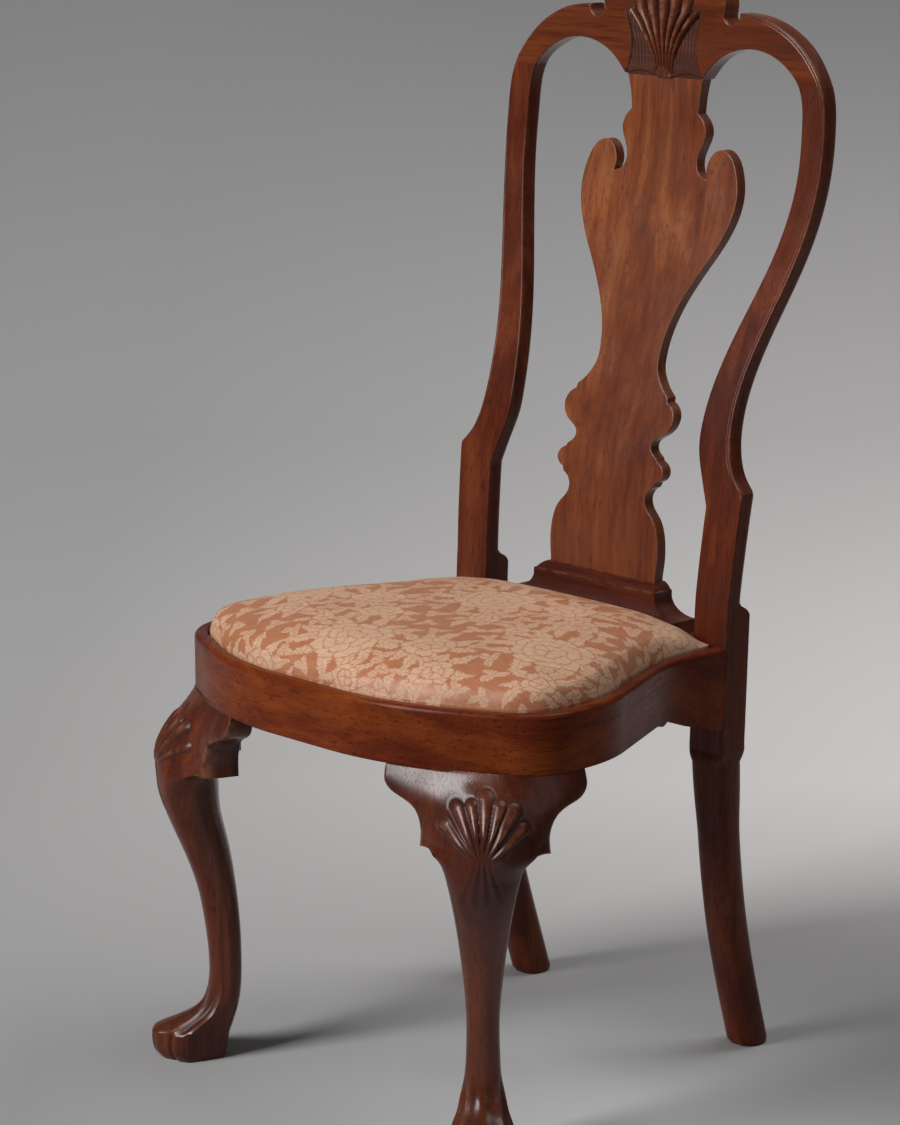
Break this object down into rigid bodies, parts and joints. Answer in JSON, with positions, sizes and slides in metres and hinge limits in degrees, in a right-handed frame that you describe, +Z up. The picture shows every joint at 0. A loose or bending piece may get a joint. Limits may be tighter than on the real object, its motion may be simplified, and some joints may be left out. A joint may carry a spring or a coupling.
{
  "type": "wooden side chair",
  "caption": "Carved walnut side chair with a vase-shaped splat, curved front legs and a damask slip seat that lifts out",
  "frame": {"origin": "On the floor, under the middle of the chair's bounding box in plan", "axes": "+Z up; the sitter faces -Y; +X is the viewer's right when looking at the front"},
  "size_m": [0.484, 0.5, 1.047],
  "materials": {
    "walnut": "waxed, satin",
    "pine": "bare, planed",
    "damask": "satin weave",
    "webbing": "coarse weave",
    "stuffing": "matted hair",
    "iron": "dark, forged"
  },
  "bodies": {
    "frame": {"crest_rail": "walnut", "splat": "walnut", "shoe": "walnut", "left_rear_post": "walnut", "right_rear_post": "walnut", "rear_rail": "walnut", "front_rail": "walnut", "left_side_rail": "walnut", "right_side_rail": "walnut", "front_rim": "walnut", "left_rim": "walnut", "right_rim": "walnut", "left_front_leg": "walnut", "right_front_leg": "walnut", "left_front_knee_block": "walnut", "left_side_knee_block": "walnut", "right_front_knee_block": "walnut", "right_side_knee_block": "walnut", "side_rail_pegs": "walnut", "crest_pegs": "walnut", "leg_tenon_wedges": "walnut"},
    "slip_seat": {"slip_frame_front": "pine", "slip_frame_back": "pine", "slip_frame_left": "pine", "slip_frame_right": "pine", "seat_webbing": "webbing", "webbing_tacks": "iron", "seat_stuffing": "stuffing", "damask_cover": "damask", "cover_tacks": "iron"}
  },
  "joints": [
    {"name": "seat_lift", "type": "slide", "parent": "frame", "child": "slip_seat", "axis": [0, 0, 1], "range_m": [0, 0.15]}
  ]
}
